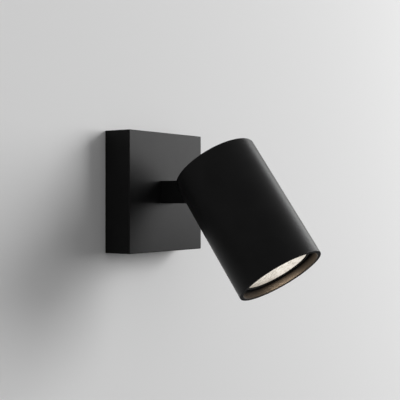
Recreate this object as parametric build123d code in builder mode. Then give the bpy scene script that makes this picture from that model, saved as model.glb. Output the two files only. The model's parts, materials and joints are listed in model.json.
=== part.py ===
from build123d import *
import math
import os

# Adjustable wall spotlight: a square cover on the wall, a square arm that swivels in it, and a
# cylindrical head that tilts on the arm's knuckle. Millimetres and degrees. The wall is the plane
# Y = 0 with +Y into the wall and +Z up, and the origin is the middle of the fitting on the wall.
# The head's own sizes are counted "forward" from its closed back along its axis, and "plateward"
# from its axis towards the wall plate.

# ------------------------------------------------------------------ driving dimensions
# Wall cover
cover_side = 85.0
cover_depth = 21.5
cover_wall = 2.0
cover_edge_radius = 0.6

# Arm
stem_width = 16.0
stem_edge_radius = 0.4
pivot_reach = 54.7

# Head
head_diameter = 61.0
head_length = 91.4
head_wall = 2.8
head_back = 2.5
head_back_radius = 0.8
mouth_edge_radius = 0.4
mouth_bevel = 0.5
pivot_from_back = 10.9
pivot_from_axis = 17.5
tilt_at_rest = 35.0

# Lamp, 50 mm reflector type with a twist base
lamp_diameter = 50.0
lamp_length = 46.5
lamp_recess = 4.9
pin_pitch = 10.0
twist_travel = 20.0

# Sheet, boards and leads
bracket_sheet = 1.5
yoke_sheet = 2.0
lamp_plate_sheet = 1.5
lead_diameter = 1.6

# Clearances
running_fit = 0.05
part_gap = 0.3
screw_gap = 0.2
slot_gap = 0.6
knuckle_gap = 0.5
wall_relief = 0.2

# Small chamfers, and how far a cut runs past the surface that it opens
edge_break = 0.4
cut_past = 1.0

# ------------------------------------------------------------------ places worked out from them
cover_inside = cover_depth - cover_wall
stem_half = stem_width / 2
head_radius = head_diameter / 2
bore_radius = head_radius - head_wall
lead_radius = lead_diameter / 2

tilt = math.radians(tilt_at_rest)
forward = Vector(0, -math.sin(tilt), -math.cos(tilt))
plateward = Vector(0, math.cos(tilt), -math.sin(tilt))
pivot = Vector(0, -pivot_reach, 0)
head_origin = pivot - forward * pivot_from_back - plateward * pivot_from_axis
head_axis = Axis(head_origin, forward)

# Sketch planes: "out" from the wall, along the tilt axis, and the head's two
from_wall = Plane.XZ
tilt_plane = Plane(origin=pivot, x_dir=(0, 1, 0), z_dir=(1, 0, 0))
across_head = Plane(origin=head_origin, x_dir=(-1, 0, 0), z_dir=forward)
along_head = Plane(origin=head_origin, x_dir=forward, z_dir=(1, 0, 0))
yoke_plane = Plane(origin=pivot, x_dir=forward, z_dir=(1, 0, 0))


def in_head(x, up, ahead):
    """A point from its place across, plateward and forward in the head."""
    return head_origin + Vector(x, 0, 0) + plateward * up + forward * ahead


def bend_radii(points):
    """The largest arc radii that a run of straight stretches has room for."""
    corners = [Vector(*p) if isinstance(p, tuple) else p for p in points]
    radii = []
    for before, corner, after in zip(corners, corners[1:], corners[2:]):
        shorter = min((corner - before).length, (after - corner).length)
        turn = math.radians((corner - before).get_angle(after - corner))
        radii.append(0.45 * shorter / math.tan(turn / 2))
    return radii


def lay_lead(points):
    """Add one lead, a round wire along straight stretches joined by arcs, and print its bends."""
    radii = bend_radii(points)
    with BuildLine() as route:
        FilletPolyline(*points, radius=radii)
    with BuildSketch(Plane(origin=route.line @ 0, z_dir=route.line % 0)) as section:
        Circle(lead_radius)
    lead = sweep(section.sketch, path=route.line)
    length = sum(edge.length for edge in route.edges())
    share = lead.volume / (section.sketch.area * length)
    print("lead bends", [round(r, 1) for r in radii], "mm, volume against length", round(share, 3))


# ================================================================== wall side
# ---- wall bracket: a folded steel plate with slotted screw holes and two cover tabs
bracket_width = 77.0
bracket_height = 44.0
bracket_strip = 36.0
bracket_corner = 2.0
bracket_bend = 1.0
tab_width = 20.0
tab_depth = 13.0
tab_gap = 0.35
wall_screw_spacing = 60.0
wall_slot_length = 10.0
wall_slot_width = 4.5
entry_drop = 20.0
entry_hole_radius = 8.0
cover_screw_from_wall = 7.5
cover_screw_radius = 1.45
earth_place = (24.0, 13.0)
earth_hole_radius = 2.05
block_height = 27.0
block_screw_offset = 5.0
block_screw_radius = 1.2

tab_outside = cover_side / 2 - cover_wall - tab_gap
tab_middle = tab_outside - bracket_sheet / 2
strip_end = tab_outside - bracket_sheet - bracket_bend

with BuildPart() as wall_bracket:
    with BuildSketch(from_wall) as plate_outline:
        Rectangle(bracket_width, bracket_height)
        Rectangle(bracket_strip, 2 * strip_end)
        fillet(plate_outline.vertices(), bracket_corner)
    extrude(amount=bracket_sheet)
    with BuildSketch(Plane.YZ):
        with BuildLine():
            FilletPolyline(
                (-tab_depth, tab_middle),
                (-bracket_sheet / 2, tab_middle),
                (-bracket_sheet / 2, -tab_middle),
                (-tab_depth, -tab_middle),
                radius=bracket_bend + bracket_sheet / 2,
            )
        trace(line_width=bracket_sheet)
    extrude(amount=tab_width / 2, both=True)
    with BuildSketch(from_wall):
        with GridLocations(wall_screw_spacing, 0, 2, 1):
            SlotOverall(wall_slot_length, wall_slot_width)
        with Locations((0, -entry_drop)):
            Circle(entry_hole_radius)
        with Locations(earth_place):
            Circle(earth_hole_radius)
        with Locations((0, block_height)):
            with GridLocations(2 * block_screw_offset, 0, 2, 1):
                Circle(block_screw_radius + running_fit)
    extrude(amount=bracket_sheet, mode=Mode.SUBTRACT)
    with BuildSketch(Plane.XY):
        with Locations((0, -cover_screw_from_wall)):
            Circle(cover_screw_radius + running_fit)
    extrude(amount=cover_side, both=True, mode=Mode.SUBTRACT)

# ---- backplate cover: open-backed square box with the swivel hole and a cast stop inside
tube_radius = 5.0
swivel_hole_radius = tube_radius + running_fit
stop_circle = 15.0
stop_radius = 1.0
stop_height = 2.6
screw_head_radius = 2.75
countersink_gap = 0.1

with BuildPart() as backplate_cover:
    with BuildSketch(from_wall):
        Rectangle(cover_side, cover_side)
    extrude(amount=cover_depth)
    upright_edges = backplate_cover.edges().filter_by(Axis.Y)
    front_edges = backplate_cover.edges().group_by(Axis.Y)[0]
    fillet(upright_edges + front_edges, cover_edge_radius)
    with BuildSketch(from_wall):
        Rectangle(cover_side - 2 * cover_wall, cover_side - 2 * cover_wall)
    extrude(amount=cover_inside, mode=Mode.SUBTRACT)
    with BuildSketch(from_wall):
        Circle(swivel_hole_radius)
    extrude(amount=cover_depth, mode=Mode.SUBTRACT)
    with BuildSketch(from_wall.offset(cover_inside - stop_height)):
        with Locations((0, -stop_circle)):
            Circle(stop_radius)
    extrude(amount=stop_height)
    for side in (1, -1):
        screw_plane = Plane(
            origin=(0, -cover_screw_from_wall, side * cover_side / 2),
            x_dir=(1, 0, 0),
            z_dir=(0, 0, side),
        )
        with Locations(screw_plane):
            CounterSinkHole(
                radius=cover_screw_radius + screw_gap,
                counter_sink_radius=screw_head_radius + countersink_gap,
                depth=cover_wall + tab_gap / 2,
                counter_sink_angle=90,
            )

# ---- cover screws: countersunk, one through the top face and one through the bottom face
cover_screw_length = 6.5
hex_socket_radius = 1.15
hex_socket_depth = 1.2

with BuildPart() as cover_screws:
    for side in (1, -1):
        screw_top = Plane(
            origin=(0, -cover_screw_from_wall, side * (cover_side / 2 - countersink_gap)),
            x_dir=(1, 0, 0),
            z_dir=(0, 0, -side),
        )
        with BuildSketch(screw_top):
            Circle(cover_screw_radius)
        extrude(amount=cover_screw_length)
        with BuildSketch(screw_top):
            Circle(screw_head_radius)
        extrude(amount=screw_head_radius - cover_screw_radius, taper=45)
        with BuildSketch(screw_top):
            RegularPolygon(hex_socket_radius, 6)
        extrude(amount=hex_socket_depth, mode=Mode.SUBTRACT)

# ---- entry bush: lines the cable hole from the room side, its lip under the bracket's front
bush_bore_radius = 5.0
bush_flange_radius = 10.0
bush_flange = 1.5

with BuildPart() as entry_bush:
    with BuildSketch(from_wall.offset(bracket_sheet)):
        with Locations((0, -entry_drop)):
            Circle(bush_flange_radius)
    extrude(amount=bush_flange)
    with BuildSketch(from_wall.offset(wall_relief)):
        with Locations((0, -entry_drop)):
            Circle(entry_hole_radius - running_fit)
    extrude(amount=bracket_sheet - wall_relief)
    with BuildSketch(from_wall):
        with Locations((0, -entry_drop)):
            Circle(bush_bore_radius)
    extrude(amount=cover_depth, mode=Mode.SUBTRACT)
    chamfer(entry_bush.edges().filter_by(GeomType.CIRCLE).group_by(Axis.Y)[0], edge_break)

# ---- terminal block: three poles side by side, wired from above and below
block_length = 17.0
block_depth = 14.0
block_base = 5.0
pole_pitch = 10.0
pole_width = 8.4
pole_round = 2.0
bar_width = 4.4
bar_bore_radius = 1.6
bar_inset = 0.5
clamp_screw_radius = 1.45
clamp_screw_spread = 9.0
clamp_screw_sink = 0.6
clamp_well_radius = 1.75
block_head_radius = 1.9
block_head_height = 1.4

block_bottom = block_height - block_length / 2
pole_axis = bracket_sheet + block_depth / 2

with BuildPart() as terminal_block:
    with BuildSketch(Plane.XY.offset(block_bottom)) as block_profile:
        with Locations((0, -bracket_sheet - block_base / 2)):
            Rectangle(2 * pole_pitch + pole_width, block_base)
        with Locations((0, -pole_axis)):
            with GridLocations(pole_pitch, 0, 3, 1):
                Rectangle(pole_width, block_depth)
        fillet(block_profile.vertices().group_by(Axis.Y)[0], pole_round)
    extrude(amount=block_length)
    with BuildSketch(Plane.XY.offset(block_bottom)):
        with Locations((0, -pole_axis)):
            with GridLocations(pole_pitch, 0, 3, 1):
                Rectangle(bar_width + 2 * running_fit, bar_width + 2 * running_fit)
    extrude(amount=block_length, mode=Mode.SUBTRACT)
    with BuildSketch(from_wall.offset(pole_axis)):
        with Locations((0, block_height)):
            with GridLocations(pole_pitch, clamp_screw_spread, 3, 2):
                Circle(clamp_well_radius)
    extrude(amount=block_depth, mode=Mode.SUBTRACT)
    with BuildSketch(from_wall):
        with Locations((0, block_height)):
            with GridLocations(2 * block_screw_offset, 0, 2, 1):
                Circle(block_screw_radius + screw_gap)
    extrude(amount=block_depth + bracket_sheet, mode=Mode.SUBTRACT)
    with BuildSketch(from_wall.offset(bracket_sheet + block_base - block_head_height)):
        with Locations((0, block_height)):
            with GridLocations(2 * block_screw_offset, 0, 2, 1):
                Circle(block_head_radius + screw_gap)
    extrude(amount=block_depth, mode=Mode.SUBTRACT)

with BuildPart() as terminal_bars:
    with BuildSketch(Plane.XY.offset(block_bottom + bar_inset)):
        with Locations((0, -pole_axis)):
            with GridLocations(pole_pitch, 0, 3, 1):
                Rectangle(bar_width, bar_width)
                Circle(bar_bore_radius, mode=Mode.SUBTRACT)
    extrude(amount=block_length - 2 * bar_inset)
    with BuildSketch(from_wall.offset(pole_axis)):
        with Locations((0, block_height)):
            with GridLocations(pole_pitch, clamp_screw_spread, 3, 2):
                Circle(clamp_screw_radius + running_fit)
    extrude(amount=block_depth, mode=Mode.SUBTRACT)

clamp_screw_tip = pole_axis + lead_radius + part_gap
clamp_screw_end = bracket_sheet + block_depth - clamp_screw_sink
driver_slot = 0.6
driver_slot_depth = 0.8

with BuildPart() as terminal_screws:
    with BuildSketch(from_wall.offset(clamp_screw_tip)):
        with Locations((0, block_height)):
            with GridLocations(pole_pitch, clamp_screw_spread, 3, 2):
                Circle(clamp_screw_radius)
    extrude(amount=clamp_screw_end - clamp_screw_tip)
    with BuildSketch(from_wall.offset(clamp_screw_end - driver_slot_depth)):
        with Locations((0, block_height)):
            with GridLocations(pole_pitch, clamp_screw_spread, 3, 2):
                Rectangle(2 * clamp_screw_radius, driver_slot)
    extrude(amount=driver_slot_depth, mode=Mode.SUBTRACT)

block_head_seat = bracket_sheet + block_base - block_head_height

with BuildPart() as terminal_fixing_screws:
    with BuildSketch(from_wall.offset(wall_relief)):
        with Locations((0, block_height)):
            with GridLocations(2 * block_screw_offset, 0, 2, 1):
                Circle(block_screw_radius)
    extrude(amount=block_head_seat - wall_relief)
    with BuildSketch(from_wall.offset(block_head_seat)):
        with Locations((0, block_height)):
            with GridLocations(2 * block_screw_offset, 0, 2, 1):
                Circle(block_head_radius)
    extrude(amount=block_head_height)
    with BuildSketch(from_wall.offset(block_head_seat + block_head_height / 2)):
        with Locations((0, block_height)):
            with GridLocations(2 * block_screw_offset, 0, 2, 1):
                Rectangle(2 * block_head_radius, driver_slot)
    extrude(amount=block_head_height, mode=Mode.SUBTRACT)

# ---- earth terminal: tag, cup washer and screw on the bracket
tag_sheet = 0.8
tag_radius = 3.8
tag_tail = 9.0
tag_tail_width = 3.0
washer_sheet = 0.9
earth_washer_radius = 4.4
earth_head_radius = 3.6
earth_head_height = 2.4
earth_head_round = 0.8
earth_slot = 1.0
tag_front = bracket_sheet + tag_sheet
washer_front = tag_front + washer_sheet

with BuildPart() as earth_tag:
    with BuildSketch(from_wall.offset(bracket_sheet)):
        with Locations(earth_place):
            Circle(tag_radius)
            with Locations((-tag_tail / 2, 0)):
                Rectangle(tag_tail, tag_tail_width)
            Circle(earth_hole_radius + screw_gap, mode=Mode.SUBTRACT)
    extrude(amount=tag_sheet)

with BuildPart() as earth_washer:
    with BuildSketch(from_wall.offset(tag_front)):
        with Locations(earth_place):
            Circle(earth_washer_radius)
            Circle(earth_hole_radius + screw_gap, mode=Mode.SUBTRACT)
    extrude(amount=washer_sheet)
    chamfer(earth_washer.edges().group_by(Axis.Y)[0].sort_by(SortBy.RADIUS)[-1], edge_break)

with BuildPart() as earth_screw:
    with BuildSketch(from_wall.offset(wall_relief)):
        with Locations(earth_place):
            Circle(earth_hole_radius - running_fit)
    extrude(amount=washer_front - wall_relief)
    with BuildSketch(from_wall.offset(washer_front)):
        with Locations(earth_place):
            Circle(earth_head_radius)
    extrude(amount=earth_head_height)
    fillet(earth_screw.edges().group_by(Axis.Y)[0], earth_head_round)
    with BuildSketch(from_wall.offset(washer_front + earth_head_height / 2)):
        with Locations(earth_place):
            Rectangle(2 * earth_head_radius, earth_slot)
    extrude(amount=earth_head_height, mode=Mode.SUBTRACT)

# ================================================================== arm
# ---- threaded tube: the swivel's hollow axle, flattened on two sides inside the cover
inner_washer = 1.0
stop_sheet = 1.2
spring_sheet = 1.0
nut_height = 4.5
nut_across = 14.0
tube_past_nut = 0.6
tube_bore_radius = 3.8
tube_flat = 4.4
tube_in_stem = 10.0

stem_seat = cover_depth + part_gap
inner_washer_end = cover_inside - inner_washer
stop_end = inner_washer_end - stop_sheet
spring_end = stop_end - spring_sheet
nut_end = spring_end - nut_height
tube_end = nut_end - tube_past_nut

with BuildPart() as threaded_tube:
    with BuildSketch(from_wall.offset(tube_end)):
        Circle(tube_radius)
    extrude(amount=stem_seat + tube_in_stem - tube_end)
    with BuildSketch(from_wall.offset(tube_end)):
        Circle(tube_radius + part_gap)
        Rectangle(2 * tube_flat, 4 * tube_radius, mode=Mode.SUBTRACT)
    extrude(amount=inner_washer_end - tube_end, mode=Mode.SUBTRACT)
    with BuildSketch(from_wall.offset(tube_end)):
        Circle(tube_bore_radius)
    extrude(amount=pivot_reach, mode=Mode.SUBTRACT)

# ---- stem: square bar, recessed for its washer, bored for the leads, rounded about the tilt axis
washer_sheet_outer = 0.8
washer_radius_outer = 7.2
wire_bore_radius = 2.75
thread_radius = 2.0
thread_depth = 4.2

with BuildPart() as stem:
    with BuildSketch(tilt_plane):
        Circle(stem_half)
        with Locations(((pivot_reach - stem_seat) / 2, 0)):
            Rectangle(pivot_reach - stem_seat, stem_width)
    extrude(amount=stem_half, both=True)
    fillet(stem.edges().filter_by(Axis.Y), stem_edge_radius)
    with BuildSketch(from_wall.offset(stem_seat)):
        Circle(washer_radius_outer + screw_gap)
    extrude(amount=washer_sheet_outer - part_gap, mode=Mode.SUBTRACT)
    with BuildSketch(from_wall.offset(stem_seat)):
        Circle(tube_radius + running_fit)
    extrude(amount=tube_in_stem + part_gap, mode=Mode.SUBTRACT)
    with BuildSketch(from_wall.offset(stem_seat)):
        Circle(wire_bore_radius)
    extrude(amount=pivot_reach, mode=Mode.SUBTRACT)
    for side in (1, -1):
        with BuildSketch(tilt_plane.offset(side * stem_half)):
            Circle(thread_radius + running_fit)
        extrude(amount=-side * thread_depth, mode=Mode.SUBTRACT)

# ---- swivel stack: washers, keyed stop, disc spring and nut, from the stem inwards
with BuildPart() as outer_friction_washer:
    with BuildSketch(from_wall.offset(cover_depth)):
        Circle(washer_radius_outer)
        Circle(tube_radius + running_fit, mode=Mode.SUBTRACT)
    extrude(amount=washer_sheet_outer)

inner_washer_radius = 9.0
spring_dish = 0.4
stop_disc_radius = 11.0
stop_tab_width = 2.8
stop_tab_reach = 16.2

with BuildPart() as inner_friction_washer:
    with BuildSketch(from_wall.offset(inner_washer_end)):
        Circle(inner_washer_radius)
        Circle(tube_radius + running_fit, mode=Mode.SUBTRACT)
    extrude(amount=inner_washer)

with BuildPart() as stop_washer:
    with BuildSketch(from_wall.offset(stop_end)):
        Circle(stop_disc_radius)
        with Locations((0, stop_tab_reach / 2)):
            Rectangle(stop_tab_width, stop_tab_reach)
    extrude(amount=stop_sheet)
    with BuildSketch(from_wall.offset(stop_end)):
        Circle(tube_radius + running_fit)
        Rectangle(2 * (tube_flat + running_fit), 4 * tube_radius, mode=Mode.INTERSECT)
    extrude(amount=stop_sheet, mode=Mode.SUBTRACT)

with BuildPart() as disc_spring:
    with BuildSketch(Plane.XY):
        with BuildLine():
            Polyline(
                (tube_radius + part_gap, -stop_end),
                (inner_washer_radius, -stop_end + spring_dish),
                (inner_washer_radius, -spring_end),
                (tube_radius + part_gap, -spring_end - spring_dish),
                close=True,
            )
        make_face()
    revolve(axis=Axis.Y)

with BuildPart() as lock_nut:
    with BuildSketch(from_wall.offset(nut_end)):
        RegularPolygon(nut_across / 2, 6, major_radius=False)
        Circle(tube_radius + running_fit, mode=Mode.SUBTRACT)
    extrude(amount=nut_height)
    chamfer(lock_nut.edges().filter_by(GeomType.CIRCLE), edge_break)

tube_bush_flange = 1.0
tube_bush_length = 5.0
tube_bush_bore = 3.0

with BuildPart() as tube_bush:
    with BuildSketch(from_wall.offset(tube_end - tube_bush_flange)):
        Circle(tube_flat)
    extrude(amount=tube_bush_flange)
    with BuildSketch(from_wall.offset(tube_end)):
        Circle(tube_bore_radius - running_fit)
    extrude(amount=tube_bush_length)
    with BuildSketch(from_wall):
        Circle(tube_bush_bore)
    extrude(amount=cover_depth, mode=Mode.SUBTRACT)
    chamfer(tube_bush.edges().filter_by(GeomType.CIRCLE).group_by(Axis.Y)[-1], edge_break)

# ---- tilt axle: two shoulder screws in the knuckle, with friction and spring washers
pivot_washer = 0.8
pivot_washer_radius = 6.0
pivot_spring_radius = 4.6
shoulder_radius = 2.5
pivot_head_radius = 3.5
pivot_head_height = 2.4
pivot_socket_radius = 1.45

ear_inside = stem_half + pivot_washer
ear_outside = ear_inside + yoke_sheet
pivot_head_seat = ear_outside + pivot_washer

with BuildPart() as pivot_friction_washers:
    for side in (1, -1):
        with BuildSketch(tilt_plane.offset(side * stem_half)):
            Circle(pivot_washer_radius)
            Circle(shoulder_radius + running_fit, mode=Mode.SUBTRACT)
        extrude(amount=side * pivot_washer)

with BuildPart() as pivot_spring_washers:
    for side in (1, -1):
        with BuildSketch(tilt_plane.offset(side * ear_outside)):
            Circle(pivot_spring_radius)
            Circle(shoulder_radius + running_fit, mode=Mode.SUBTRACT)
        extrude(amount=side * pivot_washer)

with BuildPart() as pivot_screws:
    for side in (1, -1):
        with BuildSketch(tilt_plane.offset(side * (stem_half - thread_depth + screw_gap))):
            Circle(thread_radius)
        extrude(amount=side * (thread_depth - screw_gap))
        with BuildSketch(tilt_plane.offset(side * stem_half)):
            Circle(shoulder_radius)
        extrude(amount=side * (pivot_head_seat - stem_half))
        with BuildSketch(tilt_plane.offset(side * pivot_head_seat)):
            Circle(pivot_head_radius)
        extrude(amount=side * pivot_head_height)
        with BuildSketch(tilt_plane.offset(side * (pivot_head_seat + pivot_head_height / 3))):
            RegularPolygon(pivot_socket_radius, 6)
        extrude(amount=side * pivot_head_height, mode=Mode.SUBTRACT)

# ================================================================== head
# ---- head shell: closed-back cylinder, slotted round its back corner for the stem
chamber_depth = pivot_from_back + stem_half + knuckle_gap + yoke_sheet - head_back
boss_radius = 3.5
boss_angle = 75.0
boss_sink = 0.5
boss_hole_depth = 10.0
boss_screw_relief = 2.0
small_screw_radius = 1.45
slot_corner = 1.5

plate_back = head_back + chamber_depth
plate_front = plate_back + lamp_plate_sheet
boss_circle = bore_radius - boss_radius + boss_sink
boss_angles = (90 - boss_angle, 90 + boss_angle, 270)
boss_places = [
    (boss_circle * math.cos(math.radians(a)), boss_circle * math.sin(math.radians(a)))
    for a in boss_angles
]
slot_half = stem_half + slot_gap
slot_side_end = pivot_from_back + slot_half
slot_back_end = pivot_from_axis - slot_half

with BuildPart() as head_shell:
    with BuildSketch(along_head) as shell_profile:
        with BuildLine():
            Polyline(
                (0, 0),
                (0, head_radius),
                (head_length, head_radius),
                (head_length, bore_radius),
                (head_back, bore_radius),
                (head_back, 0),
                close=True,
            )
        make_face()
        outer_corner = shell_profile.vertices().sort_by_distance((0, head_radius))[0]
        fillet(outer_corner, head_back_radius)
        mouth_inside, mouth_outside = shell_profile.vertices().group_by(Axis.X)[-1].sort_by(Axis.Y)
        chamfer(mouth_inside, mouth_bevel)
        fillet(mouth_outside, mouth_edge_radius)
    revolve(axis=head_axis)
    with BuildSketch(across_head.offset(head_back)):
        with Locations(*boss_places):
            Circle(boss_radius)
    extrude(amount=chamber_depth)
    with BuildSketch(across_head.offset(plate_back)):
        with Locations(*boss_places):
            Circle(small_screw_radius + running_fit)
    extrude(amount=-boss_hole_depth, mode=Mode.SUBTRACT)
    # the slot in the side wall, then the slot in the closed back
    side_wall = Plane(origin=in_head(0, bore_radius / 2, 0), x_dir=forward, z_dir=plateward)
    with BuildSketch(side_wall) as side_slot:
        Rectangle(2 * slot_side_end, 2 * slot_half)
        fillet(side_slot.vertices().group_by(Axis.X)[-1], slot_corner)
    extrude(amount=head_radius, mode=Mode.SUBTRACT)
    with BuildSketch(across_head) as back_slot:
        with Locations((0, (slot_back_end + head_radius + cut_past) / 2)):
            Rectangle(2 * slot_half, head_radius + cut_past - slot_back_end)
        fillet(back_slot.vertices().group_by(Axis.Y)[0], slot_corner)
    extrude(amount=head_back, mode=Mode.SUBTRACT)

# ---- pivot yoke: folded U whose ears take the shoulder screws
ear_radius = 6.5
yoke_bend = 1.0
yoke_screw_offset = 5.0
web_back = plate_back - yoke_sheet
ear_reach = plate_back - pivot_from_back

with BuildPart() as pivot_yoke:
    # folded outline, seen along the ears
    fold_plane = Plane(origin=in_head(0, pivot_from_axis, 0), x_dir=(-1, 0, 0), z_dir=plateward)
    with BuildSketch(fold_plane):
        with BuildLine():
            FilletPolyline(
                (-ear_inside - yoke_sheet / 2, -pivot_from_back + ear_radius),
                (-ear_inside - yoke_sheet / 2, -web_back - yoke_sheet / 2),
                (ear_inside + yoke_sheet / 2, -web_back - yoke_sheet / 2),
                (ear_inside + yoke_sheet / 2, -pivot_from_back + ear_radius),
                radius=yoke_bend + yoke_sheet / 2,
            )
        trace(line_width=yoke_sheet)
    extrude(amount=ear_radius, both=True)
    with BuildSketch(yoke_plane):
        with Locations((ear_reach / 2, 0)):
            Rectangle(ear_reach, 2 * ear_radius)
        Circle(ear_radius)
    extrude(amount=head_radius, both=True, mode=Mode.INTERSECT)
    with BuildSketch(yoke_plane):
        Circle(shoulder_radius + running_fit)
    extrude(amount=head_radius, both=True, mode=Mode.SUBTRACT)
    with BuildSketch(across_head.offset(web_back)):
        with Locations((0, pivot_from_axis)):
            with GridLocations(2 * yoke_screw_offset, 0, 2, 1):
                Circle(small_screw_radius + running_fit)
    extrude(amount=yoke_sheet, mode=Mode.SUBTRACT)

# ---- lamp plate: disc that carries the yoke behind it and the lampholder in front
lamp_plate_gap = 0.4
holder_screw_offset = 10.0
lead_hole_radius = 1.6
lead_hole_x = 4.6
lead_hole_up = 5.2

with BuildPart() as lamp_plate:
    with BuildSketch(across_head.offset(plate_back)):
        Circle(bore_radius - lamp_plate_gap)
        with Locations(*boss_places):
            Circle(small_screw_radius + screw_gap, mode=Mode.SUBTRACT)
        with Locations((0, pivot_from_axis)):
            with GridLocations(2 * yoke_screw_offset, 0, 2, 1):
                Circle(small_screw_radius + screw_gap, mode=Mode.SUBTRACT)
        with GridLocations(0, 2 * holder_screw_offset, 1, 2):
            Circle(small_screw_radius + running_fit, mode=Mode.SUBTRACT)
        with Locations((0, lead_hole_up)):
            with GridLocations(2 * lead_hole_x, 0, 2, 1):
                Circle(lead_hole_radius, mode=Mode.SUBTRACT)
    extrude(amount=lamp_plate_sheet)

# ---- screws that hold the plate on its bosses and the yoke on the plate
pan_head_radius = 2.7
pan_head_height = 2.0
pan_slot = 0.8


def pan_screws(places, seat, length):
    """Add slotted pan-head screws whose heads stand on a seat in front of them."""
    with BuildSketch(across_head.offset(seat - length)) as shanks:
        with Locations(*places):
            Circle(small_screw_radius)
    extrude(shanks.sketch, amount=length)
    with BuildSketch(across_head.offset(seat)) as heads:
        with Locations(*places):
            Circle(pan_head_radius)
    extrude(heads.sketch, amount=pan_head_height)
    with BuildSketch(across_head.offset(seat + pan_head_height / 2)) as slots:
        with Locations(*places):
            Rectangle(2 * pan_head_radius, pan_slot)
    extrude(slots.sketch, amount=pan_head_height, mode=Mode.SUBTRACT)


with BuildPart() as lamp_plate_screws:
    pan_screws(boss_places, plate_front, lamp_plate_sheet + boss_hole_depth - boss_screw_relief)

yoke_screw_places = [(side * yoke_screw_offset, pivot_from_axis) for side in (1, -1)]

with BuildPart() as yoke_screws:
    pan_screws(yoke_screw_places, plate_front, lamp_plate_sheet + yoke_sheet)

# ---- lampholder: ceramic body with two keyholes for the lamp's pins
holder_radius = 15.0
holder_chamfer = 0.8
lamp_front = head_length - lamp_recess
lamp_back = lamp_front - lamp_length
holder_front = lamp_back - part_gap
holder_height = holder_front - plate_front
pin_neck_radius = 1.5
pin_head_radius = 2.4
pin_head_height = 2.6
pin_length = 7.5
keyhole_roof = 3.0
keyhole_gap = 0.4
pocket_depth = 9.2
pocket_floor = holder_front - pocket_depth
pocket_width = 2 * (pin_head_radius + keyhole_gap)
wiring_recess = 4.5
holder_screw_seat = pocket_floor
contact_sheet = 0.5
contact_width = 3.2
contact_tail_up = 2.4
contact_tail = 2.8
wiring_width = pin_pitch + contact_width + 2 * part_gap
wiring_bottom = -2.0
wiring_top = lead_hole_up + lead_diameter + lead_radius
pocket_spare = 8.0
pocket_sweep = twist_travel + 2 * pocket_spare
pin_circle = pin_pitch / 2

with BuildPart() as lampholder:
    with BuildSketch(across_head.offset(plate_front)):
        Circle(holder_radius)
    extrude(amount=holder_height)
    chamfer(lampholder.edges().filter_by(GeomType.CIRCLE), holder_chamfer)
    for start in (0, 180):
        # pocket that the pin heads turn in, under the roof
        pocket_arc = CenterArc((0, 0), pin_circle, start - pocket_spare, pocket_sweep)
        with BuildSketch(across_head.offset(pocket_floor)):
            SlotArc(pocket_arc, pocket_width)
        extrude(amount=pocket_depth - keyhole_roof, mode=Mode.SUBTRACT)
        # keyhole through the roof: narrow where the pin locks, round where its head enters
        travel_arc = CenterArc((0, 0), pin_circle, start, twist_travel)
        entry_place = travel_arc @ 1
        with BuildSketch(across_head.offset(holder_front - keyhole_roof)):
            SlotArc(travel_arc, 2 * (pin_neck_radius + part_gap))
            with Locations(entry_place):
                Circle(pin_head_radius + keyhole_gap)
        extrude(amount=keyhole_roof, mode=Mode.SUBTRACT)
    with BuildSketch(across_head.offset(plate_front)):
        with Locations((0, (wiring_bottom + wiring_top) / 2)):
            Rectangle(wiring_width, wiring_top - wiring_bottom)
    extrude(amount=wiring_recess, mode=Mode.SUBTRACT)
    with BuildSketch(across_head.offset(plate_front + wiring_recess)):
        with Locations((0, contact_tail_up)):
            with GridLocations(pin_pitch, 0, 2, 1):
                Rectangle(contact_width + 2 * part_gap, contact_sheet + 2 * part_gap)
    extrude(amount=pocket_floor - plate_front - wiring_recess, mode=Mode.SUBTRACT)
    with BuildSketch(across_head.offset(plate_front)):
        with GridLocations(0, 2 * holder_screw_offset, 1, 2):
            Circle(small_screw_radius + screw_gap)
    extrude(amount=holder_height, mode=Mode.SUBTRACT)
    with BuildSketch(across_head.offset(holder_screw_seat)):
        with GridLocations(0, 2 * holder_screw_offset, 1, 2):
            Circle(pan_head_radius + screw_gap)
    extrude(amount=holder_height, mode=Mode.SUBTRACT)

# sprung contacts: a bowed leaf under each pin, its tail through the floor to the lead
pin_end = lamp_back - pin_length
leaf_top = pin_end - part_gap - contact_sheet / 2
leaf_foot = pocket_floor + part_gap + contact_sheet / 2
tail_end = plate_front + wiring_recess - contact_tail
lead_in_holder = plate_front + wiring_recess / 2

with BuildPart() as lampholder_contacts:
    for side in (1, -1):
        contact_plane = along_head.offset(side * pin_circle - contact_width / 2)
        with BuildSketch(contact_plane):
            with BuildLine():
                ThreePointArc(
                    (leaf_foot, -contact_tail_up),
                    (leaf_top, 0),
                    (leaf_foot, contact_tail_up),
                )
                Line((leaf_foot, contact_tail_up), (tail_end, contact_tail_up))
                Line(
                    (tail_end, contact_tail_up),
                    (tail_end, lead_hole_up - lead_radius - part_gap),
                )
            trace(line_width=contact_sheet)
        extrude(amount=contact_width)

holder_screw_places = [(0, side * holder_screw_offset) for side in (1, -1)]

with BuildPart() as lampholder_screws:
    pan_screws(holder_screw_places, holder_screw_seat, holder_screw_seat - plate_back)

# ================================================================== lamp
# ---- lamp: bezel, lens, reflector body, insulating base and two headed pins
bezel_width = 2.0
bezel_height = 5.0
bezel_lip = 1.5
bezel_bevel = 0.5
lens_gap = 0.1
lens_set_back = 0.3
lens_thickness = 3.0
lens_crown = 0.35
lamp_radius = lamp_diameter / 2
base_radius = 13.5
base_height = 11.0
base_taper = 0.8
body_shoulder = 4.0
body_flare = 0.35
body_inset = 0.6

lens_radius = lamp_radius - bezel_width
lens_front = lamp_front - lens_set_back
bezel_back = lamp_front - bezel_height
base_front = lamp_back + base_height

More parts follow.
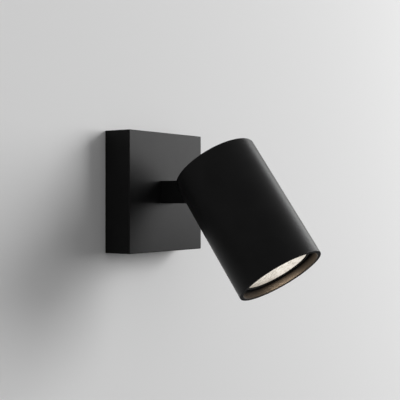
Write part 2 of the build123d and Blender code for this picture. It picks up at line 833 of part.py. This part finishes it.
with BuildPart() as lamp_base:
    with BuildSketch(along_head):
        with BuildLine():
            Polyline(
                (lamp_back, 0),
                (lamp_back, base_radius - base_taper),
                (base_front, base_radius),
                (base_front, 0),
                close=True,
            )
        make_face()
    revolve(axis=head_axis)

with BuildPart() as lamp_body:
    with BuildSketch(along_head):
        with BuildLine():
            Line((base_front, 0), (base_front, base_radius))
            Line((base_front, base_radius), (base_front + body_shoulder, base_radius))
            TangentArc(
                (base_front + body_shoulder, base_radius),
                (bezel_back, lamp_radius - body_inset),
                tangent=(1, body_flare),
            )
            Line((bezel_back, lamp_radius - body_inset), (bezel_back, 0))
            Line((bezel_back, 0), (base_front, 0))
        make_face()
    revolve(axis=head_axis)

with BuildPart() as lamp_bezel:
    with BuildSketch(along_head) as bezel_profile:
        with BuildLine():
            Polyline(
                (bezel_back, lens_radius - bezel_lip),
                (bezel_back, lamp_radius),
                (lamp_front, lamp_radius),
                (lamp_front, lens_radius + lens_gap),
                (lens_front - lens_thickness, lens_radius + lens_gap),
                (lens_front - lens_thickness, lens_radius - bezel_lip),
                close=True,
            )
        make_face()
        rim_corners = bezel_profile.vertices().group_by(Axis.X)[-1]
        chamfer(rim_corners, bezel_bevel)
    revolve(axis=head_axis)

with BuildPart() as lamp_lens:
    with BuildSketch(along_head):
        with BuildLine():
            Polyline(
                (lens_front - lens_crown, lens_radius),
                (lens_front - lens_thickness, lens_radius),
                (lens_front - lens_thickness, 0),
                (lens_front, 0),
            )
            TangentArc((lens_front, 0), (lens_front - lens_crown, lens_radius), tangent=(0, 1))
        make_face()
    revolve(axis=head_axis)

with BuildPart() as lamp_pins:
    with BuildSketch(across_head.offset(lamp_back - pin_length)):
        with GridLocations(pin_pitch, 0, 2, 1):
            Circle(pin_neck_radius)
    extrude(amount=pin_length)
    with BuildSketch(across_head.offset(lamp_back - pin_length)):
        with GridLocations(pin_pitch, 0, 2, 1):
            Circle(pin_head_radius)
    extrude(amount=pin_head_height)

# ================================================================== leads
# Live and neutral run side by side from the block, through the hollow arm, to the lampholder.
# They are cut where the arm swivels and where it tilts, so each stretch moves with one part.
lead_spacing = 1.1
lead_into_tube = 1.0
lead_from_wall = 3.9
lead_rise = 7.0
lead_fan_out = 0.3
lead_run_in = 4.0
earth_run_in = 3.0
lead_cut = tube_end + lead_into_tube
lead_stop = block_height - driver_slot

with BuildPart() as base_leads:
    for side in (1, -1):
        x = side * lead_spacing
        pole = (side - 1) / 2 * pole_pitch
        lay_lead(
            [
                (x, -lead_cut, 0),
                (x, -lead_from_wall, 0),
                (x + lead_fan_out * (pole - x), -lead_from_wall, lead_rise),
                (pole, -pole_axis, block_bottom - lead_run_in),
                (pole, -pole_axis, lead_stop),
            ]
        )

tag_lead_y = -(tag_front + lead_radius + running_fit)
tag_lead_end = earth_place[0] - earth_washer_radius - part_gap
tag_lead_start = tag_lead_end - tag_tail + tag_radius

with BuildPart() as earth_lead:
    lay_lead(
        [
            (pole_pitch, -pole_axis, lead_stop),
            (pole_pitch, -pole_axis, block_bottom - earth_run_in),
            (tag_lead_start, tag_lead_y, earth_place[1]),
            (tag_lead_end, tag_lead_y, earth_place[1]),
        ]
    )

with BuildPart() as stem_leads:
    with BuildSketch(from_wall.offset(lead_cut)):
        with GridLocations(2 * lead_spacing, 0, 2, 1):
            Circle(lead_radius)
    extrude(amount=pivot_reach + stem_half - part_gap - lead_cut)

with BuildPart() as lampholder_leads:
    leave_stem = -(pivot_reach + stem_half + lead_radius)
    to_hole = (pivot_from_axis - lead_hole_up) / math.cos(tilt) - stem_half - lead_radius
    for side in (1, -1):
        lay_lead(
            [
                Vector(side * lead_spacing, leave_stem, 0),
                Vector(side * lead_hole_x, leave_stem - to_hole, 0),
                in_head(side * lead_hole_x, lead_hole_up, lead_in_holder),
            ]
        )

# ---- sleeve: glass-fibre tube round the two leads inside the arm
sleeve_outer = 2.6
sleeve_inner = 2.15
sleeve_inset = 2.0
sleeve_start = stem_seat + tube_in_stem + sleeve_inset
sleeve_end = pivot_reach + stem_half - sleeve_inset

with BuildPart() as lead_sleeve:
    with BuildSketch(from_wall.offset(sleeve_start)):
        Circle(sleeve_outer)
        Circle(sleeve_inner, mode=Mode.SUBTRACT)
    extrude(amount=sleeve_end - sleeve_start)

# ---- write every piece
pieces = {
    "wall_bracket": wall_bracket,
    "backplate_cover": backplate_cover,
    "cover_screws": cover_screws,
    "entry_bush": entry_bush,
    "terminal_block": terminal_block,
    "terminal_bars": terminal_bars,
    "terminal_screws": terminal_screws,
    "terminal_fixing_screws": terminal_fixing_screws,
    "earth_tag": earth_tag,
    "earth_washer": earth_washer,
    "earth_screw": earth_screw,
    "threaded_tube": threaded_tube,
    "stem": stem,
    "outer_friction_washer": outer_friction_washer,
    "inner_friction_washer": inner_friction_washer,
    "stop_washer": stop_washer,
    "disc_spring": disc_spring,
    "lock_nut": lock_nut,
    "tube_bush": tube_bush,
    "pivot_friction_washers": pivot_friction_washers,
    "pivot_spring_washers": pivot_spring_washers,
    "pivot_screws": pivot_screws,
    "head_shell": head_shell,
    "pivot_yoke": pivot_yoke,
    "lamp_plate": lamp_plate,
    "lamp_plate_screws": lamp_plate_screws,
    "yoke_screws": yoke_screws,
    "lampholder": lampholder,
    "lampholder_screws": lampholder_screws,
    "lamp_base": lamp_base,
    "lamp_body": lamp_body,
    "lamp_bezel": lamp_bezel,
    "lamp_lens": lamp_lens,
    "lamp_pins": lamp_pins,
    "base_leads": base_leads,
    "earth_lead": earth_lead,
    "stem_leads": stem_leads,
    "lead_sleeve": lead_sleeve,
    "lampholder_leads": lampholder_leads,
    "lampholder_contacts": lampholder_contacts,
}

os.makedirs("parts", exist_ok=True)
for name, piece in pieces.items():
    piece.part.label = name
    export_step(piece.part, f"parts/{name}.step")
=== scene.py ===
import json
import math

import bmesh
import bpy
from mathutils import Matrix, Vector


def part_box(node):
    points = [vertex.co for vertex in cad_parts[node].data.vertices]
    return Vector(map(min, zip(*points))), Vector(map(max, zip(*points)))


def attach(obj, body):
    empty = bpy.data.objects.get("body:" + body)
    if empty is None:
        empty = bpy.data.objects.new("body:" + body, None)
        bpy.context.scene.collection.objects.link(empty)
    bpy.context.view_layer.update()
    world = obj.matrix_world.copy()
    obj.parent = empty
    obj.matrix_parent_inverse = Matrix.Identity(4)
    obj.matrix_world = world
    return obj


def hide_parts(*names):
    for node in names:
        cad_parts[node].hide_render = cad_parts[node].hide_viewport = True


# Looks of the adjustable wall spotlight. Metres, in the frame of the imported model: the wall is the
# plane Y = 0, the room is at -Y and +Z is up.

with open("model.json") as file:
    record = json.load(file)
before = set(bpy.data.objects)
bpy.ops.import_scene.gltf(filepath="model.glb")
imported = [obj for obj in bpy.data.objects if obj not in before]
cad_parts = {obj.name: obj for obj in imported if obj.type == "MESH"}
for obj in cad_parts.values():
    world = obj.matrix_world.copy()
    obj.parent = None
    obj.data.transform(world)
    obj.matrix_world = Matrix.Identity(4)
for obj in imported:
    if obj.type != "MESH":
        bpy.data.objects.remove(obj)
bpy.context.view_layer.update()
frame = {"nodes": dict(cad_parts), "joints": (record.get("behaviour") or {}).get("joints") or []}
nodes = frame["nodes"]
joints = {joint["name"]: joint for joint in frame["joints"]}

MM = 0.001

# Head frame: its axis runs forward from the closed back to the mouth
lamp_joint = joints["lamp_twist"]
head_back = Vector(lamp_joint["pos_m"])
forward = Vector(lamp_joint["axis"]).normalized()
plateward = Vector((0, -forward.z, forward.y))
across = plateward.cross(forward)


def in_head(x, up, ahead):
    """A point from its place across, plateward and forward in the head."""
    return head_back + across * x + plateward * up + forward * ahead


def reach(node):
    """How far forward in the head a node starts and ends."""
    distances = [(vertex.co - head_back).dot(forward) for vertex in nodes[node].data.vertices]
    return min(distances), max(distances)


def placed(name, shape):
    """An object in the scene, made from a bmesh."""
    mesh = bpy.data.meshes.new(name)
    shape.to_mesh(mesh)
    shape.free()
    made = bpy.data.objects.new(name, mesh)
    bpy.context.scene.collection.objects.link(made)
    return made


# ------------------------------------------------------------------ materials
paint_specular = 0.062
matt_gloss = 0.8
matt_step = 0.1 * MM
streak_depth = 0.01 * MM


class Surface:
    """A material made of nodes, with its pattern read from the piece's own coordinates."""

    def __init__(self, name):
        self.material = bpy.data.materials.new(name)
        self.material.use_nodes = True
        self.tree = self.material.node_tree
        self.shader = self.tree.nodes["Principled BSDF"]
        self.place = self.add("ShaderNodeTexCoord").outputs["Object"]

    def add(self, kind, **settings):
        """A node, its fields set by name."""
        made = self.tree.nodes.new(kind)
        for field, value in settings.items():
            setattr(made, field, value)
        return made

    def link(self, source, target):
        self.tree.links.new(source, target)

    def set(self, **values):
        """Set the shader's own sockets, underscores standing for spaces."""
        for field, value in values.items():
            self.shader.inputs[field.replace("_", " ")].default_value = value

    def stretched(self, scale):
        """The piece's coordinates, scaled by a different amount each way."""
        mapping = self.add("ShaderNodeMapping")
        mapping.inputs["Scale"].default_value = scale
        self.link(self.place, mapping.inputs["Vector"])
        return mapping.outputs["Vector"]

    def along(self, direction):
        """How far each point lies along a direction, from the origin."""
        made = self.add("ShaderNodeVectorMath", operation="DOT_PRODUCT")
        self.link(self.place, made.inputs[0])
        made.inputs[1].default_value = direction
        return made.outputs["Value"]

    def noise(self, scale, detail=3.0, roughness=0.55, place=None):
        """Noise from 0 to 1, with about this many lumps in a metre."""
        made = self.add("ShaderNodeTexNoise")
        made.inputs["Scale"].default_value = scale
        made.inputs["Detail"].default_value = detail
        made.inputs["Roughness"].default_value = roughness
        self.link(place or self.place, made.inputs["Vector"])
        return made.outputs["Fac"]

    def bands(self, scale, place=None):
        """Slanting bands from 0 to 1."""
        made = self.add("ShaderNodeTexWave", wave_type="BANDS", bands_direction="DIAGONAL")
        made.inputs["Scale"].default_value = scale
        self.link(place or self.place, made.inputs["Vector"])
        return made.outputs["Fac"]

    def calculate(self, operation, *values):
        """A Math node on numbers, each a plain one or another node's output."""
        made = self.add("ShaderNodeMath", operation=operation)
        for socket, value in zip(made.inputs, values):
            if isinstance(value, (int, float)):
                socket.default_value = value
            else:
                self.link(value, socket)
        return made.outputs["Value"]

    def spread(self, source, low, high, start=0.3, end=0.7):
        """Numbers of a pattern between start and end, spread from low to high."""
        made = self.add("ShaderNodeMapRange")
        for field, value in (("From Min", start), ("From Max", end), ("To Min", low), ("To Max", high)):
            made.inputs[field].default_value = value
        self.link(source, made.inputs["Value"])
        return made.outputs["Result"]

    def blend(self, amount, first, second, way="MIX"):
        """A colour between two or made from both, each a colour or another node's output."""
        made = self.add("ShaderNodeMix", data_type="RGBA", blend_type=way)
        if isinstance(amount, (int, float)):
            made.inputs["Factor"].default_value = amount
        else:
            self.link(amount, made.inputs["Factor"])
        for socket, colour in ((made.inputs[6], first), (made.inputs[7], second)):
            if isinstance(colour, tuple):
                socket.default_value = (*colour, 1)
            else:
                self.link(colour, socket)
        return made.outputs[2]

    def bump(self, height, depth, strength=1.0, under=None):
        """Relief of a pattern, its full depth in metres."""
        made = self.add("ShaderNodeBump")
        made.inputs["Strength"].default_value = strength
        made.inputs["Distance"].default_value = depth
        self.link(height, made.inputs["Height"])
        if under:
            self.link(under, made.inputs["Normal"])
        return made.outputs["Normal"]

    def finish(self, colour=None, roughness=None, normal=None):
        """Link what is given to the shader, and hand back the material."""
        if colour:
            self.link(colour, self.shader.inputs["Base Color"])
        if roughness:
            self.link(roughness, self.shader.inputs["Roughness"])
        if normal:
            self.link(normal, self.shader.inputs["Normal"])
        return self.material


def powder_coat(name, dark, light, gloss, grain, direction=None, matt_from=None):
    """Satin powder coat with a fine orange-peel grain, and matt from a distance along a direction."""
    s = Surface(name)
    s.set(Specular_IOR_Level=paint_specular)
    cloud = s.spread(s.noise(60, 2), 0, 1)
    grains = s.noise(grain, 2, 0.6)
    peel = s.noise(grain / 6, 1)
    colour = s.blend(cloud, dark, light)
    roughness = s.spread(grains, gloss - 0.05, gloss + 0.05)
    if direction:
        matt = s.spread(s.along(direction), 0, matt_gloss, matt_from, matt_from + matt_step)
        roughness = s.calculate("MAXIMUM", matt, roughness)
    normal = s.bump(grains, 0.012 * MM, 0.6, s.bump(peel, 0.02 * MM, 0.4))
    return s.finish(colour, roughness, normal)


def plated_metal(name, dark, light, gloss, streaks=(3200, 3200, 240)):
    """Plated or drawn metal: a light mottle, and streaks with so many in a metre each way."""
    s = Surface(name)
    s.set(Metallic=1.0)
    drawn = s.noise(1, 3, 0.6, s.stretched(streaks))
    mottle = s.spread(s.noise(220, 4, 0.65), 0, 1)
    colour = s.blend(mottle, dark, light)
    roughness = s.spread(drawn, gloss - 0.09, gloss + 0.09)
    return s.finish(colour, roughness, s.bump(drawn, streak_depth, 0.5))


def moulded_plastic(name, dark, light, gloss, grain=1500, depth=0.02 * MM, specular=0.5):
    """Moulded plastic or rubber: an even colour with a fine spark-eroded grain."""
    s = Surface(name)
    s.set(Specular_IOR_Level=specular)
    cloud = s.spread(s.noise(90, 2), 0, 1)
    grains = s.noise(grain, 3, 0.6)
    return s.finish(
        s.blend(cloud, dark, light),
        s.spread(grains, gloss - 0.06, gloss + 0.06),
        s.bump(grains, depth, 0.5),
    )


def ceramic(name):
    """Unglazed steatite: chalky, with fine specks."""
    s = Surface(name)
    s.set(Specular_IOR_Level=0.35)
    specks = s.spread(s.noise(2600, 2, 0.5), 0, 1, 0.62, 0.72)
    cloud = s.spread(s.noise(140, 3), 0, 1)
    body = s.blend(cloud, (0.72, 0.69, 0.61), (0.80, 0.78, 0.71))
    colour = s.blend(specks, body, (0.52, 0.48, 0.41))
    grains = s.noise(1800, 3, 0.65)
    return s.finish(colour, s.spread(grains, 0.62, 0.82), s.bump(grains, 0.03 * MM, 0.6))


def woven_sleeve(name):
    """Varnished glass-fibre sleeve: a fine braid of bands that cross."""
    s = Surface(name)
    turned = s.bands(500)
    crossed = s.bands(500, s.stretched((1, -1, 1)))
    strands = s.calculate("MULTIPLY", turned, crossed)
    colour = s.blend(s.spread(strands, 0, 1, 0.1, 0.8), (0.52, 0.46, 0.34), (0.78, 0.74, 0.63))
    return s.finish(colour, s.spread(strands, 0.7, 0.5, 0, 1), s.bump(strands, 0.12 * MM, 0.8))


def insulated(s, colour):
    """Smooth soft plastic round a lead, in this colour."""
    grains = s.noise(2200, 2)
    return s.finish(colour, s.spread(grains, 0.32, 0.46), s.bump(grains, 0.01 * MM, 0.4))


def side_by_side_leads(name, left, right, lean):
    """Insulation of two leads in one piece: one colour on each side of a leaning plane."""
    s = Surface(name)
    parts = s.add("ShaderNodeSeparateXYZ")
    s.link(s.place, parts.inputs["Vector"])
    shifted = s.calculate("MULTIPLY_ADD", parts.outputs["Z"], lean, parts.outputs["X"])
    side = s.calculate("GREATER_THAN", shifted, 0)
    colour = s.blend(side, left, right)
    return insulated(s, s.blend(s.spread(s.noise(300, 2), 0, 0.18), colour, (0.05, 0.05, 0.05)))


def striped_lead(name, ground, stripe):
    """Insulation with a broad stripe of a second colour wound slowly round it."""
    s = Surface(name)
    return insulated(s, s.blend(s.spread(s.bands(55), 0, 1, 0.5, 0.56), ground, stripe))


end_face_depth = 0.2 * MM
upward = Vector((0, 0, 1))
cover_low, cover_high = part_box("backplate_cover")
mouth = head_back.dot(forward) + reach("head_shell")[1]
paint = ((0.0092, 0.0092, 0.0094), (0.0118, 0.0118, 0.0120), 0.34, 2600)
black_paint = powder_coat("black_powder_coat", *paint)
cover_paint = powder_coat("black_powder_coat_cover", *paint, upward, cover_high.z - end_face_depth)
head_paint = powder_coat("black_powder_coat_head", *paint, forward, mouth - end_face_depth)

unstreaked = (480, 480, 480)
zinc_sheet = plated_metal("zinc_sheet", (0.48, 0.49, 0.49), (0.62, 0.62, 0.60), 0.36)
zinc_screw = plated_metal("zinc_screw", (0.55, 0.54, 0.50), (0.70, 0.69, 0.64), 0.28, unstreaked)
spring_steel = plated_metal("spring_steel", (0.30, 0.30, 0.31), (0.42, 0.42, 0.42), 0.30, unstreaked)
brass = plated_metal("brass", (0.66, 0.46, 0.19), (0.78, 0.58, 0.28), 0.30, (2400, 2400, 320))
tinned = plated_metal("tinned_brass", (0.60, 0.59, 0.54), (0.72, 0.71, 0.66), 0.34, unstreaked)
black_oxide = plated_metal("black_oxide", (0.020, 0.020, 0.021), (0.035, 0.035, 0.036), 0.42)

terminal_plastic = moulded_plastic("terminal_plastic", (0.70, 0.69, 0.64), (0.78, 0.77, 0.73), 0.42)
nylon = moulded_plastic("black_nylon", (0.05, 0.05, 0.05), (0.075, 0.075, 0.073), 0.48)
lamp_plastic = moulded_plastic("lamp_plastic", (0.72, 0.71, 0.68), (0.80, 0.79, 0.76), 0.38)
# The lamp's ring is near-black, darker than the paint: painted shade standing in for the shaded gap
# round the lens
lamp_rim_painted_shade = moulded_plastic(
    "lamp_rim", (0.005, 0.0045, 0.004), (0.008, 0.007, 0.006), 0.55, specular=0.1
)
rubber = moulded_plastic(
    "black_rubber", (0.022, 0.022, 0.022), (0.032, 0.031, 0.030), 0.72, 900, 0.03 * MM
)

steatite = ceramic("steatite")
sleeve_weave = woven_sleeve("glass_fibre_braid")
brown = (0.16, 0.055, 0.022)
blue = (0.02, 0.10, 0.36)
lead_pair = side_by_side_leads("lead_pair", brown, blue, 0.1)
lead_pair_head = side_by_side_leads("lead_pair_head", brown, blue, 0)
earth_stripes = striped_lead("earth_stripes", (0.60, 0.56, 0.03), (0.04, 0.26, 0.05))

looks = {
    "backplate_cover": cover_paint,
    "stem": black_paint,
    "head_shell": head_paint,
    "cover_screws": black_oxide,
    "wall_bracket": zinc_sheet,
    "pivot_yoke": zinc_sheet,
    "lamp_plate": zinc_sheet,
    "stop_washer": zinc_sheet,
    "threaded_tube": zinc_screw,
    "lock_nut": zinc_screw,
    "earth_screw": zinc_screw,
    "earth_washer": zinc_screw,
    "terminal_screws": zinc_screw,
    "terminal_fixing_screws": zinc_screw,
    "pivot_screws": zinc_screw,
    "lamp_plate_screws": zinc_screw,
    "yoke_screws": zinc_screw,
    "lampholder_screws": zinc_screw,
    "disc_spring": spring_steel,
    "pivot_spring_washers": spring_steel,
    "terminal_bars": brass,
    "lampholder_contacts": brass,
    "lamp_pins": brass,
    "earth_tag": tinned,
    "entry_bush": rubber,
    "terminal_block": terminal_plastic,
    "tube_bush": terminal_plastic,
    "outer_friction_washer": nylon,
    "inner_friction_washer": nylon,
    "pivot_friction_washers": nylon,
    "lampholder": steatite,
    "lamp_base": lamp_plastic,
    "lamp_body": lamp_plastic,
    "lamp_bezel": lamp_rim_painted_shade,
    "lead_sleeve": sleeve_weave,
    "base_leads": lead_pair,
    "stem_leads": lead_pair_head,
    "lampholder_leads": lead_pair_head,
    "earth_lead": earth_stripes,
}
for node, material in looks.items():
    mesh = nodes[node].data
    mesh.materials.clear()
    mesh.materials.append(material)


# ------------------------------------------------------------------ lit lens
lens_low, lens_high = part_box("lamp_lens")
lens_radius = (lens_high.x - lens_low.x) / 2
lens_back, lens_front = reach("lamp_lens")
lens_crown = 0.35 * MM

# Rings of pillow facets, with a ring of longer flutes round them
facet_length = 2.1 * MM
facet_width = 1.2 * MM
facet_height = 0.28 * MM
flute_length = 4.6 * MM
flute_roundness = 6
facet_roundness = 2
fewest_facets = 5

# How bright a facet looks: so much by chance, and so much painted light by its height and by its side
facet_chance = 0.45
facet_painted_highlight = 0.35
facet_painted_side_light = 0.20
centre_shade = 0.6

# Radial teeth between the flutes and the edge, in six steps a tooth
rim_flat = 1.1 * MM
tooth_count = 120
tooth_height = 0.22 * MM
tooth_start = 0.15 * MM
tooth_end = 0.12 * MM
tooth_steps = (0.0, 0.5, 0.87, 1.0, 0.87, 0.5)
# painted shade in the valleys of the teeth and a painted highlight on their crests
tooth_valley_painted_shade = 0.25
tooth_crest_painted_highlight = 0.75

field_radius = lens_radius - rim_flat
facet_rings = round((field_radius - flute_length) / facet_length)
facet_edges = [(field_radius - flute_length) * k / facet_rings for k in range(facet_rings + 1)]
facet_edges.append(field_radius)
lens_rings = 90
lens_spokes = tooth_count * len(tooth_steps)
just_inside = 0.9999


def on_lens(radius, angle, ahead):
    return in_head(radius * math.cos(angle), radius * math.sin(angle), ahead)


def dome(radius):
    """How far forward in the head the lens is under its facets."""
    return lens_front - facet_height - lens_crown * (radius / lens_radius) ** 2


def sparkle(ring, place):
    """A number from 0 to 1 for each facet that has no order to the eye and is the same each run."""
    mixed = math.sin(91.7 * ring + 37.3 * place) * 4375.5
    return mixed - math.floor(mixed)


def facet(radius, angle):
    """Height of the staggered facets, from 0 to 1, and how bright each one looks, with painted light by
    its height and its side.
    """
    ring = max(k for k in range(facet_rings + 1) if facet_edges[k] <= radius)
    inner, outer = facet_edges[ring], facet_edges[ring + 1]
    along = 2 * (radius - inner) / (outer - inner) - 1
    count = max(round(math.pi * (inner + outer) / facet_width), fewest_facets)
    turn = (angle / (2 * math.pi) * count + 0.5 * (ring % 2)) % count
    side = 2 * (turn % 1) - 1
    roundness = facet_roundness if ring < facet_rings else flute_roundness
    height = (1 - along**roundness) * (1 - side**2)
    # a painted highlight on each facet's high middle and painted light on one of its sides, added to a
    # random brightness
    shade = facet_chance * sparkle(ring, int(turn)) + facet_painted_highlight * height
    return height, shade + facet_painted_side_light * (0.5 + 0.5 * side)


def build_lens():
    """Moulded lens: a low dome with rings of facets inside a ring of radial teeth."""
    shape = bmesh.new()
    shades = shape.verts.layers.float.new("facet_shade")
    turns = [2 * math.pi * i / lens_spokes for i in range(lens_spokes)]

    def add(place, shade):
        vertex = shape.verts.new(place)
        vertex[shades] = shade
        return vertex

    def join(inner, outer):
        for i in range(lens_spokes):
            j = (i + 1) % lens_spokes
            shape.faces.new((inner[i], outer[i], outer[j], inner[j]))

    def facet_ring(radius):
        ring = []
        for turn in turns:
            height, shade = facet(radius * just_inside, turn)
            ring.append(add(on_lens(radius, turn, dome(radius) + facet_height * height), shade))
        return ring

    def tooth_ring(radius, lift):
        ring = []
        for i, turn in enumerate(turns):
            step = tooth_steps[i % len(tooth_steps)]
            ahead = dome(radius) + lift * step * tooth_height
            # painted shade and highlight from each step's height
            shade = tooth_valley_painted_shade + (tooth_crest_painted_highlight - tooth_valley_painted_shade) * step
            ring.append(add(on_lens(radius, turn, ahead), shade))
        return ring

    centre = add(in_head(0, 0, dome(0)), centre_shade)
    rings = [facet_ring(field_radius * k / lens_rings) for k in range(1, lens_rings + 1)]
    rings.append(tooth_ring(field_radius + tooth_start, 1))
    rings.append(tooth_ring(lens_radius - tooth_end, 1))
    rings.append(tooth_ring(lens_radius, 0))
    rings.append([add(on_lens(lens_radius, turn, lens_back), 0) for turn in turns])
    for i in range(lens_spokes):
        shape.faces.new((centre, rings[0][i], rings[0][(i + 1) % lens_spokes]))
    for inner, outer in zip(rings, rings[1:]):
        join(inner, outer)
    shape.faces.new(list(reversed(rings[-1])))
    bmesh.ops.recalc_face_normals(shape, faces=shape.faces)
    made = placed("lens_optic", shape)
    for polygon in made.data.polygons:
        polygon.use_smooth = True
    return made


def lit_lens(name):
    """Moulded lens lit from behind: warm and pale, with each facet a little different, painted
    highlights and shade on its facets and teeth, and painted shade on the side towards the wall plate.
    """
    s = Surface(name)
    s.set(Roughness=0.35, Specular_IOR_Level=0.3, Base_Color=(0.30, 0.28, 0.25, 1))
    shade = s.add("ShaderNodeAttribute", attribute_name="facet_shade").outputs["Fac"]
    clouds = s.spread(s.noise(230, 3, 0.6), 0, 1, 0.36, 0.64)
    specks = s.spread(s.noise(1500, 2, 0.6), 0, 1, 0.38, 0.62)
    mixed = s.calculate("MULTIPLY_ADD", specks, 0.35, shade)
    dim = s.blend(clouds, (0.36, 0.33, 0.28), (0.27, 0.24, 0.20))
    pale = s.blend(clouds, (1.20, 1.13, 1.02), (1.05, 0.97, 0.85))
    glow = s.blend(s.spread(mixed, 0, 1, 0.15, 1.0), dim, pale)
    # painted shade: the side towards the wall plate is a little dimmer
    middle = head_back.dot(plateward)
    edge = s.spread(s.along(plateward), 0, 1, middle + 0.25 * lens_radius, middle + lens_radius)
    painted_plateward_shade = s.blend(edge, (1, 1, 1), (0.50, 0.48, 0.45))
    s.link(s.blend(1, glow, painted_plateward_shade, "MULTIPLY"), s.shader.inputs["Emission Color"])
    s.set(Emission_Strength=0.80)
    return s.finish(normal=s.bump(s.noise(3000, 2), 0.02 * MM, 0.4))


lens = build_lens()
lens.data.materials.append(lit_lens("lit_lens"))
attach(lens, "lamp")
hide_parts("lamp_lens")


# ------------------------------------------------------------------ wall and floor
wall_reach = 3.0
wall_gap = 0.2 * MM
hole_margin = 1.5 * MM
floor_drop = 1.6
floor_reach = 4.4
pale_paint = (0.78, 0.78, 0.78)
floor_bounce = (0.06, 0.06, 0.06)


def seen_directly(tree):
    """1 for rays from the camera, a mirror or glass, and 0 for light that bounces off softly."""
    rays = tree.nodes.new("ShaderNodeLightPath")
    total = rays.outputs["Is Camera Ray"]
    for kind in ("Is Glossy Ray", "Is Transmission Ray"):
        most = tree.nodes.new("ShaderNodeMath")
        most.operation = "MAXIMUM"
        tree.links.new(total, most.inputs[0])
        tree.links.new(rays.outputs[kind], most.inputs[1])
        total = most.outputs["Value"]
    return total


def seen_from_front(name, colour, bounced=None):
    """A matt surface, clear from behind so that it never hides the object.

    Soft light bounces off it as off the second colour, where there is one.
    """
    s = Surface(name)
    s.set(Base_Color=(*colour, 1), Roughness=0.9, Specular_IOR_Level=0.1)
    if bounced:
        tone = s.blend(seen_directly(s.tree), bounced, colour)
        s.link(tone, s.shader.inputs["Base Color"])
    mix = s.add("ShaderNodeMixShader")
    s.link(s.add("ShaderNodeNewGeometry").outputs["Backfacing"], mix.inputs["Fac"])
    s.link(s.shader.outputs["BSDF"], mix.inputs[1])
    s.link(s.add("ShaderNodeBsdfTransparent").outputs["BSDF"], mix.inputs[2])
    s.link(mix.outputs["Shader"], s.tree.nodes["Material Output"].inputs["Surface"])
    return s.material


def corners(left, bottom, right, top):
    """Corners of a rectangle, anticlockwise."""
    return [(left, bottom), (right, bottom), (right, top), (left, top)]


def build_wall():
    """The wall, open behind the cover so that light reaches the fitting's back."""
    shape = bmesh.new()
    hole = (cover_high.x - cover_low.x) / 2 - hole_margin
    outer = corners(-wall_reach, -floor_drop, wall_reach, wall_reach)
    inner = corners(-hole, -hole, hole, hole)
    rims = [[shape.verts.new((x, wall_gap, z)) for x, z in ring] for ring in (outer, inner)]
    for i in range(4):
        j = (i + 1) % 4
        shape.faces.new((rims[0][i], rims[0][j], rims[1][j], rims[1][i]))
    return placed("wall", shape)


def build_floor():
    """The floor, far enough below that the lamps don't burn it out."""
    shape = bmesh.new()
    outline = corners(-floor_reach, -floor_reach, floor_reach, floor_reach)
    shape.faces.new([shape.verts.new((x, y, -floor_drop)) for x, y in outline])
    return placed("floor", shape)


wall = build_wall()
wall.data.materials.append(seen_from_front("wall_paint", pale_paint))
floor = build_floor()
floor.data.materials.append(seen_from_front("floor_paint", pale_paint, floor_bounce))


# ------------------------------------------------------------------ light
glow_radius = 12 * MM
glow_gap = 0.15 * MM
glow_power = 0.23
glow_colour = (1.0, 0.74, 0.50)
soft_light = 0.38
background_tone = 0.68


def area_lamp(name, shape, width, height, power, place, turn):
    """An area lamp that shines along its own -Z."""
    lamp = bpy.data.lights.new(name, "AREA")
    lamp.shape = shape
    lamp.size, lamp.size_y = width, height
    lamp.energy = power
    made = bpy.data.objects.new(name, lamp)
    made.location = place
    made.rotation_euler = turn.to_track_quat("-Z", "Y").to_euler()
    bpy.context.scene.collection.objects.link(made)
    return made


def soft_box(name, place, target, width, height, radiance):
    """A rectangular lamp that faces the target, and looks this bright."""
    power = radiance * math.pi * width * height
    return area_lamp(name, "RECTANGLE", width, height, power, place, Vector(target) - Vector(place))


key_place = (2.39, -1.90, 0.73)
rim_place = (2.33, -0.30, 0.95)
back_place = (-0.6, 1.4, 0.7)
soft_box("key", key_place, target=(0, -0.04, 0), width=1.95, height=1.80, radiance=8.128)
soft_box("rim", rim_place, target=(0, -0.08, 0), width=0.55, height=1.2, radiance=4.5)
soft_box("back_fill", back_place, target=(0, 0, 0), width=1.2, height=1.2, radiance=2.65)

# The lamp's own light, on the inside of the mouth
in_front_of_lens = in_head(0, 0, lens_front + glow_gap)
glow_width = 2 * glow_radius
glow = area_lamp("lamp_glow", "DISK", glow_width, glow_width, glow_power, in_front_of_lens, forward)
glow.data.color = glow_colour
glow.visible_camera = False
lit_pieces = bpy.data.collections.new("lit_by_lamp")
for node in ("head_shell", "lamp_bezel"):
    lit_pieces.objects.link(nodes[node])
glow.light_linking.receiver_collection = lit_pieces
bpy.context.view_layer.update()
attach(glow, "lamp")

# An even sky, a paler grey where it is seen directly
world = bpy.data.worlds.new("studio")
bpy.context.scene.world = world
world.use_nodes = True
tree = world.node_tree
sky = tree.nodes["Background"]
sky.inputs["Color"].default_value = (soft_light, soft_light, soft_light, 1)
seen = tree.nodes.new("ShaderNodeBackground")
seen.inputs["Color"].default_value = (background_tone, background_tone, background_tone, 1)
choose = tree.nodes.new("ShaderNodeMixShader")
tree.links.new(seen_directly(tree), choose.inputs["Fac"])
tree.links.new(sky.outputs["Background"], choose.inputs[1])
tree.links.new(seen.outputs["Background"], choose.inputs[2])
tree.links.new(choose.outputs["Shader"], tree.nodes["World Output"].inputs["Surface"])

# ------------------------------------------------------------------ camera
camera_place = (-0.50013, -0.40087, -0.00561)
camera_heading = -54.97
camera_lens = 78.53
camera_sensor = 36

camera_data = bpy.data.cameras.new("camera")
camera_data.lens = camera_lens
camera_data.sensor_width = camera_sensor
camera = bpy.data.objects.new("camera", camera_data)
camera.location = camera_place
camera.rotation_euler = (math.radians(90), 0, math.radians(camera_heading))
bpy.context.scene.collection.objects.link(camera)
bpy.context.scene.camera = camera
bpy.context.scene.view_settings.view_transform = "Standard"

bpy.context.view_layer.update()
